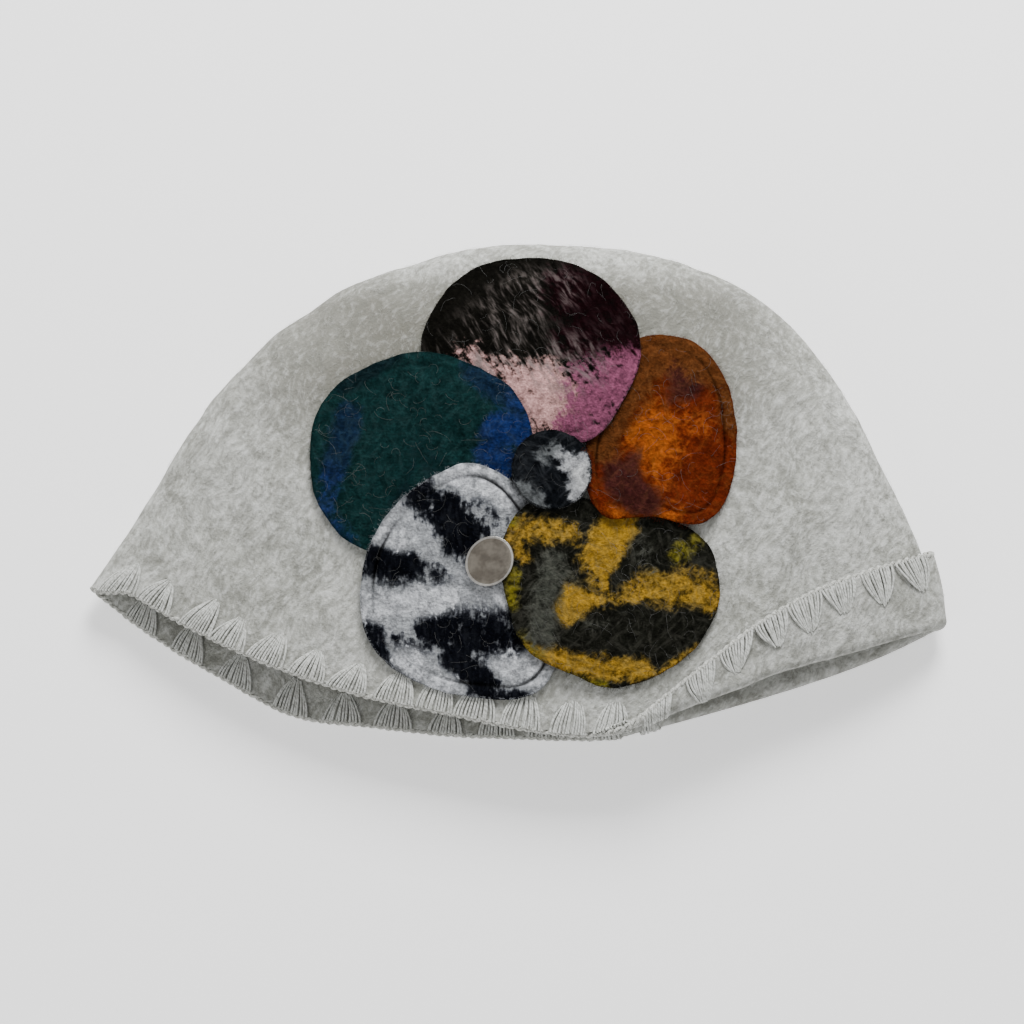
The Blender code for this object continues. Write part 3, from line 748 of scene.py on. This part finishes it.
def makePetal(nodeName, name, slotName, rests):
    s = flowerSettings
    dyes = petalDyes[nodeName]
    middleX, middleY = petalMiddle(nodeName)
    flowerX, flowerY = flowerMiddle()
    cadTop = Surface([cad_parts[nodeName]])
    smallest = min(petalShapes[nodeName][2]) * s["size"]
    insets = [inset for inset in s["insets"] if inset < 0.92 * smallest]
    rows = len(insets)

    def heightAt(x, y):
        for share in (1.0, 0.985, 0.97, 0.95, 0.92):
            hit = cadTop.top(middleX + (x - middleX) * share, middleY + (y - middleY) * share)[0]
            if hit:
                return hit.z
        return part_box(nodeName)[0].z

    def sewnAt(place):
        # the seam sinks into the felt here and there, and shows less elsewhere
        return min(max(0.55 + 1.3 * noise.noise(place * 42), 0.1), 1.0)

    def pointAt(angle, share):
        row = round(share * rows)
        reach = petalReach(nodeName, angle)
        around = Vector((math.cos(angle), math.sin(angle), 0.37 * len(name)))
        reach += 2 * s["frayed"] * noise.noise(around * 5) + s["frayed"] * noise.noise(around * 19)
        far = 0.0 if row == 0 else 1 - insets[rows - row] / reach if insets[rows - row] < reach else 0.0
        x = middleX + far * reach * math.cos(angle)
        y = middleY + far * reach * math.sin(angle)
        return Vector((x, y, heightAt(x, y)))

    mesh = roundSkin(s["spokes"], rows, pointAt)
    if sum(face.normal.z for face in mesh.faces) < 0:
        bmesh.ops.reverse_faces(mesh, faces=mesh.faces)
    for _ in range(s["smoothings"]):
        bmesh.ops.smooth_vert(mesh, verts=[v for v in mesh.verts if not v.is_boundary], factor=0.5,
                              use_axis_x=False, use_axis_y=False, use_axis_z=True)
    for vert in mesh.verts:
        inset = insetIn(nodeName, vert.co.x, vert.co.y)
        depth = s["grooveDepth"] * min(1.5 * dyes["seam"], 1.0) * sewnAt(vert.co)
        rise = -depth * math.exp(-(((inset - s["groovePlace"]) / s["grooveWidth"]) ** 2))
        rise += s["edgePuff"] * math.sin(math.pi * min(max(inset / s["groovePlace"], 0.0), 1.0))
        rise += s["puff"] * smoothStep(inset, s["groovePlace"], s["groovePlace"] + s["puffFull"])
        rise += sum(high * noise.noise(vert.co * fine) for high, fine in s["lumps"])
        vert.co.z += rise
    dye = mesh.verts.layers.float_color.new("dye")
    seam = mesh.verts.layers.float.new("seam")
    for vert in mesh.verts:
        x = (vert.co.x - flowerX) * 1000
        y = (vert.co.y - flowerY) * 1000
        vert[dye] = dyeAt(dyes["strokes"], dyes["soft"], x, y)
        fromSeam = insetIn(nodeName, vert.co.x, vert.co.y) - s["groovePlace"]
        vert[seam] = sewnAt(vert.co) * math.exp(-((fromSeam / (0.8 * s["grooveWidth"])) ** 2))
    petal = makePiece(name, mesh, petalFeltFinish(name, dyes))
    felt = petal.modifiers.new("Felt", "SOLIDIFY")
    felt.thickness = s["thick"]
    felt.offset = -1.0
    felt.use_even_offset = False
    soft = petal.modifiers.new("Soft", "SUBSURF")
    soft.levels = 1
    soft.render_levels = 1
    soft.use_limit_surface = False
    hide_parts(nodeName)
    # the size and area of the flat piece that the petal is cut as
    turns = [math.tau * step / s["spokes"] for step in range(s["spokes"])]
    cut = [petalReach(nodeName, turn) for turn in turns]
    cutX = [reach * math.cos(turn) for reach, turn in zip(cut, turns)]
    cutY = [reach * math.sin(turn) for reach, turn in zip(cut, turns)]
    flat = (max(cutX) - min(cutX), max(cutY) - min(cutY))
    area = math.pi * sum(reach * reach for reach in cut) / s["spokes"]
    return petal, nodeName, slotName, rests, flat, area


laidPetals = [
    makePetal("petal_top", "petalTop", "petal_top_felt", ["crownFelted", "petalRight"]),
    makePetal("petal_left", "petalLeft", "petal_left_felt", ["crownFelted", "petalTop"]),
    makePetal("petal_right", "petalRight", "petal_right_felt", ["crownFelted", "petalLowerRight"]),
    makePetal("petal_lower_right", "petalLowerRight", "petal_lower_right_felt",
              ["crownFelted", "petalLowerLeft"]),
    makePetal("petal_lower_left", "petalLowerLeft", "petal_lower_left_felt", ["crownFelted", "petalLeft"]),
    makePetal("flower_centre", "flowerCentre", "flower_centre_felt", ["petalTop"]),
]
petals = [petal for petal, *_ in laidPetals]
for petal, _, _, rests, flat, area in laidPetals:
    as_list(rests)
    print(petal.name, "cut", round(flat[0], 4), "x", round(flat[1], 4), "m,", round(area * 1e4, 1), "cm2")
print("petals and centre laid")


def hairFinish(name, colour):
    f = Finish(name, 0.8)
    tone = f.noise(f.place, 300.0, 1.0)
    return f.finish(f.mix(f.between(tone, 0.3, 0.7), tuple(0.55 * part for part in colour), colour))


def makeHairs(name, things, count, lengths, thick, rise, curl, material, keep):
    # fine curled fibres that stand a little off the felt
    surface = Surface(things)
    cornersX = [corner[0] for thing in things for corner in thing.bound_box]
    cornersY = [corner[1] for thing in things for corner in thing.bound_box]
    paths = []
    while len(paths) < count:
        x = chance.uniform(min(cornersX), max(cornersX))
        y = chance.uniform(min(cornersY), max(cornersY))
        hit, out, tree = surface.top(x, y)
        if hit is None or not keep(hit):
            continue
        if out.z < 0:
            out = -out
        heading = chance.uniform(0, math.tau)
        bend = chance.uniform(-curl, curl)
        length = chance.uniform(*lengths)
        side = out.orthogonal().normalized()
        other = out.cross(side)
        place = hit - out * 0.0003
        path = [(place, 1.0)]
        for step in range(1, 7):
            share = step / 6
            heading += bend / 6 + chance.uniform(-0.25, 0.25)
            place = place + (side * math.cos(heading) + other * math.sin(heading)) * length / 6
            near = tree.find_nearest(place)[0]
            lift = rise * math.sin(math.pi * (0.15 + 0.75 * share)) * chance.uniform(0.6, 1.2)
            path.append((near + out * lift if near else place, 1.0 - 0.5 * share))
            place = near if near else place
        paths.append(path)
    return layPaths(name, paths, thick, material, 0)


flowerHair = makeHairs("flowerHair", petals, 520, (0.003, 0.010), 0.00007, 0.0009, 4.0,
                       hairFinish("paleMohair", (0.13, 0.13, 0.125)), lambda place: True)
crownFuzz = makeHairs("crownFuzz", [crown], 2000, (0.002, 0.005), 0.00008, 0.0006, 2.5,
                      hairFinish("woolFuzz", (0.42, 0.42, 0.39)),
                      lambda place: outsideFlower(place.x, place.y) > -0.002)


def makeEdgeFuzz(petal, nodeName, slotName):
    # short fibres that stand out of a petal's cut edge, over whatever lies beside it
    s = {"count": 520, "shortest": 0.0008, "longest": 0.0026, "thick": 0.00008, "start": 0.0007, "spread": 1.1,
         "lift": 0.00012}
    middleX, middleY = petalMiddle(nodeName)
    paths = []
    for _ in range(s["count"]):
        angle = chance.uniform(0, math.tau)
        heading = angle + chance.uniform(-s["spread"], s["spread"])
        bend = chance.uniform(-0.5, 0.5)
        length = chance.uniform(s["shortest"], s["longest"])
        reach = petalReach(nodeName, angle) - s["start"]
        x, y = middleX + reach * math.cos(angle), middleY + reach * math.sin(angle)
        if flowerTops.top(x, y)[2] is not flowerTops.trees[petals.index(petal)]:
            continue
        path = []
        for step in range(5):
            hit = flowerTops.top(x, y)[0]
            if hit is None:
                break
            low = path[-1][0].z - 0.25 * length if path else hit.z
            path.append((Vector((x, y, max(hit.z, low) + s["lift"])), 1.0 - 0.12 * step))
            x += math.cos(heading) * length / 4
            y += math.sin(heading) * length / 4
            heading += bend
        if len(path) == 5:
            paths.append(path)
    fuzz = layPaths(petal.name + "Fuzz", paths, s["thick"], petal.data.materials[0], 0)


flowerTops = Surface(petals + [crown])
for petal, nodeName, slotName, *_ in laidPetals:
    makeEdgeFuzz(petal, nodeName, slotName)
print("loose fibres laid")


def badgeFinish(name, dark, light):
    f = Finish(name, 0.34, metallic=1.0)
    smear = f.noise(f.turned(f.place, (0.0, 0.0, 0.5), (1.0, 0.3, 1.0)), 700.0, 4.0, 0.6)
    marks = f.noise(f.place, 190.0, 3.0, 0.6)
    colour = f.mix(f.between(marks, 0.35, 0.65), dark, light)
    return f.finish(colour, f.bump(smear, 0.12, 0.0002), f.between(smear, 0.3, 0.7, 0.28, 0.46))


def makeBadge():
    s = {"width": 0.0164, "height": 0.0184, "thick": 0.0013, "rim": 0.0007, "sink": 0.0003, "round": 0.00018,
         "domeSteps": 5, "domeStep": 0.15, "domeRise": 0.00007}
    low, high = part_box("badge")
    middle = (low + high) / 2
    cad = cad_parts["badge"].data
    out = max((face for face in cad.polygons if face.normal.z > 0), key=lambda face: face.area).normal.copy()
    mesh = bmesh.new()
    half = s["width"] / 2
    bmesh.ops.create_cone(mesh, cap_ends=True, segments=96, radius1=half, radius2=half, depth=s["thick"])
    top = [face for face in mesh.faces if face.normal.z > 0.9]
    bmesh.ops.inset_region(mesh, faces=top, thickness=s["rim"])
    bmesh.ops.translate(mesh, verts=top[0].verts, vec=(0, 0, -s["sink"]))
    for _ in range(s["domeSteps"]):
        bmesh.ops.inset_region(mesh, faces=top, thickness=half * s["domeStep"])
        bmesh.ops.translate(mesh, verts=top[0].verts, vec=(0, 0, s["domeRise"]))
    # the raised rim's faces take a lighter metal as a painted highlight
    for face in mesh.faces:
        faceMiddle = face.calc_center_median()
        face.material_index = 0 if math.hypot(faceMiddle.x, faceMiddle.y) < half - s["rim"] else 1
    bmesh.ops.scale(mesh, verts=mesh.verts, vec=(1.0, s["height"] / s["width"], 1.0))
    turn = out.to_track_quat("Z", "Y").to_matrix().to_4x4()
    bmesh.ops.transform(mesh, matrix=Matrix.Translation(middle) @ turn, verts=mesh.verts)
    bmesh.ops.recalc_face_normals(mesh, faces=mesh.faces)
    nickel = badgeFinish("wornNickel", (0.178, 0.157, 0.130), (0.285, 0.257, 0.216))
    badge = makePiece("badgeDisc", mesh, nickel)
    # painted highlight: the raised rim is coloured lighter than the disc
    badge.data.materials.append(badgeFinish("paintedHighlightRim", (0.40, 0.38, 0.35), (0.56, 0.54, 0.50)))
    edges = badge.modifiers.new("Rounded", "BEVEL")
    edges.width = s["round"]
    edges.segments = 2
    edges.limit_method = "ANGLE"
    edges.angle_limit = math.radians(35)
    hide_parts("badge")


makeBadge()
print("badge seated")


def makeStudio():
    # each lamp's place, size and power
    s = {"floor": 6.0, "sky": 0.56, "glow": 0.6,
         "lampKey": ((0.22, 1.0, 0.85), 0.55, 32.0), "lampFill": ((-0.9, -0.7, 0.7), 0.9, 5.0)}
    mesh = bmesh.new()
    bmesh.ops.create_grid(mesh, x_segments=1, y_segments=1, size=s["floor"] / 2)
    data = bpy.data.meshes.new("floor")
    mesh.to_mesh(data)
    mesh.free()
    f = Finish("paleFloor", 0.9)
    data.materials.append(f.finish(f.mix(f.noise(f.place, 3.0), (0.90, 0.90, 0.90), (0.93, 0.93, 0.93))))
    f.shader.inputs["Emission Color"].default_value = (1.0, 1.0, 1.0, 1.0)
    f.shader.inputs["Emission Strength"].default_value = s["glow"]
    floor = bpy.data.objects.new("floor", data)
    bpy.context.scene.collection.objects.link(floor)
    for name in ("lampKey", "lampFill"):
        place, size, power = s[name]
        lamp = bpy.data.lights.new(name, "AREA")
        lamp.size = size
        lamp.energy = power
        holder = bpy.data.objects.new(name, lamp)
        holder.location = place
        holder.rotation_euler = (-Vector(place)).to_track_quat("-Z", "Y").to_euler()
        bpy.context.scene.collection.objects.link(holder)
    world = bpy.data.worlds.new("studio")
    world.use_nodes = True
    world.node_tree.nodes["Background"].inputs["Color"].default_value = (1.0, 1.0, 1.0, 1.0)
    world.node_tree.nodes["Background"].inputs["Strength"].default_value = s["sky"]
    bpy.context.scene.world = world


def makeCamera():
    s = {"aim": (-0.0023, -0.0070, 0.0), "distance": 0.750, "elevation": 78.0, "lens": 70.0}
    tilt = math.radians(90 - s["elevation"])
    data = bpy.data.cameras.new("camera")
    data.lens = s["lens"]
    data.sensor_width = 36.0
    camera = bpy.data.objects.new("camera", data)
    camera.location = Vector(s["aim"]) + Vector((0, -math.sin(tilt), math.cos(tilt))) * s["distance"]
    camera.rotation_euler = (tilt, 0.0, 0.0)
    bpy.context.scene.collection.objects.link(camera)
    bpy.context.scene.camera = camera


makeStudio()
makeCamera()
print("studio and camera placed")
